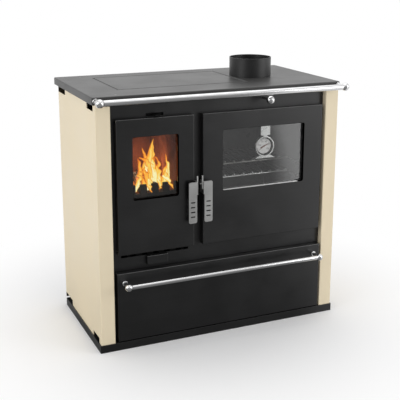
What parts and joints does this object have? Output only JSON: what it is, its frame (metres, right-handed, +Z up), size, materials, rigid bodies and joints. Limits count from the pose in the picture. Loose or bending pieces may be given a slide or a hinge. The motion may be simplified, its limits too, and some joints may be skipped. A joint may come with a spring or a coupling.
{
  "type": "wood cookstove",
  "caption": "Free-standing wood cookstove: glazed fire door, glazed oven door with thermometer, steel hob, flue collar, towel rail and wood drawer.",
  "frame": {"origin": "centre of the base's underside, on the floor", "axes": "+Z up, +X to the right seen from the front, -Y out of the front"},
  "size_m": [0.8959, 0.5389, 0.917],
  "materials": {
    "black_paint": "satin heat-resistant black paint",
    "cream_paint": "satin cream powder coat",
    "carcass_paint": "matt black heat-resistant paint",
    "hob_steel": "satin grey-black steel plate",
    "flue_paint": "satin black",
    "galvanised_steel": "galvanised sheet",
    "chrome": "polished",
    "rack_wire": "bright wire",
    "brushed_steel": "brushed stainless",
    "zinc_steel": "zinc plated",
    "cast_iron": "rough cast",
    "fire_brick": "matt fired clay",
    "door_glass": "clear heat-resistant glass",
    "rope_seal": "braided glass-fibre rope",
    "oven_enamel": "grey enamel",
    "thermometer_steel": "bright steel",
    "dial_face": "white printed dial",
    "needle_paint": "red"
  },
  "bodies": {
    "stove": {"base_plinth": "black_paint", "left_side_panel": "cream_paint", "right_side_panel": "cream_paint", "left_carcass_wall": "carcass_paint", "right_carcass_wall": "carcass_paint", "back_plate": "carcass_paint", "hearth_plate": "carcass_paint", "front_frame": "black_paint", "rear_cover": "galvanised_steel", "hob_frame": "hob_steel", "hob_screws": "zinc_steel", "flue_collar": "flue_paint", "flue_box": "carcass_paint", "towel_rail": "chrome", "towel_rail_brackets": "chrome", "firebox_casing": "carcass_paint", "grate_shelf": "carcass_paint", "fire_grate": "cast_iron", "log_guard": "cast_iron", "ash_pan": "galvanised_steel", "side_firebricks": "fire_brick", "back_firebricks": "fire_brick", "oven_box": "oven_enamel", "lower_oven_rack": "rack_wire", "upper_oven_rack": "rack_wire", "door_hinge_lugs": "zinc_steel", "door_keeper": "carcass_paint", "drawer_runners": "carcass_paint", "air_slide_guides": "carcass_paint"},
    "hotplate": {"hotplate": "hob_steel"},
    "damper": {"damper_knob": "chrome", "damper_rod": "zinc_steel", "damper_plate": "carcass_paint"},
    "fire_door": {"fire_door_panel": "black_paint", "fire_door_inner_frame": "cast_iron", "fire_door_glass": "door_glass", "fire_door_gasket": "rope_seal", "fire_door_clips": "zinc_steel", "fire_door_liner": "cast_iron", "fire_door_pins": "zinc_steel", "fire_latch_bolt": "zinc_steel"},
    "fire_latch": {"fire_latch_handle": "brushed_steel"},
    "oven_door": {"oven_door_panel": "black_paint", "oven_door_inner_frame": "cast_iron", "oven_door_glass": "door_glass", "oven_door_gasket": "rope_seal", "oven_door_clips": "zinc_steel", "oven_door_pins": "zinc_steel", "oven_latch_bolt": "zinc_steel", "thermometer_case": "thermometer_steel", "thermometer_dial": "dial_face"},
    "oven_latch": {"oven_latch_handle": "brushed_steel"},
    "thermometer_pointer": {"thermometer_needle": "needle_paint"},
    "drawer": {"drawer_front": "black_paint", "drawer_box": "carcass_paint", "drawer_rail": "chrome", "drawer_rail_brackets": "chrome"},
    "primary_air": {"primary_air_knob": "black_paint", "primary_air_plate": "carcass_paint"},
    "secondary_air": {"secondary_air_slide": "carcass_paint"}
  },
  "joints": [
    {"name": "fire_door_hinge", "type": "hinge", "parent": "stove", "child": "fire_door", "pos_m": [-0.365, -0.209, 0.5515], "axis": [0, 0, -1], "range_deg": [0, 110]},
    {"name": "oven_door_hinge", "type": "hinge", "parent": "stove", "child": "oven_door", "pos_m": [0.368, -0.209, 0.5515], "axis": [0, 0, 1], "range_deg": [0, 110]},
    {"name": "fire_latch_pivot", "type": "hinge", "parent": "fire_door", "child": "fire_latch", "pos_m": [-0.103, -0.2095, 0.537], "axis": [-1, 0, 0], "range_deg": [0, 30]},
    {"name": "oven_latch_pivot", "type": "hinge", "parent": "oven_door", "child": "oven_latch", "pos_m": [-0.0795, -0.2095, 0.537], "axis": [-1, 0, 0], "range_deg": [0, 30]},
    {"name": "drawer_slide", "type": "slide", "parent": "stove", "child": "drawer", "axis": [0, -1, 0], "range_m": [0, 0.3]},
    {"name": "damper_pull", "type": "slide", "parent": "stove", "child": "damper", "axis": [0, -1, 0], "range_m": [0, 0.08]},
    {"name": "primary_air_adjust", "type": "slide", "parent": "stove", "child": "primary_air", "axis": [1, 0, 0], "range_m": [-0.02, 0.02]},
    {"name": "secondary_air_adjust", "type": "slide", "parent": "stove", "child": "secondary_air", "axis": [1, 0, 0], "range_m": [-0.015, 0.015]},
    {"name": "hotplate_lift", "type": "slide", "parent": "stove", "child": "hotplate", "axis": [0, 0, 1], "range_m": [0, 0.15]},
    {"name": "thermometer_turn", "type": "hinge", "parent": "oven_door", "child": "thermometer_pointer", "pos_m": [0.162, -0.191, 0.641], "axis": [0, 1, 0], "range_deg": [-180, 70]}
  ]
}
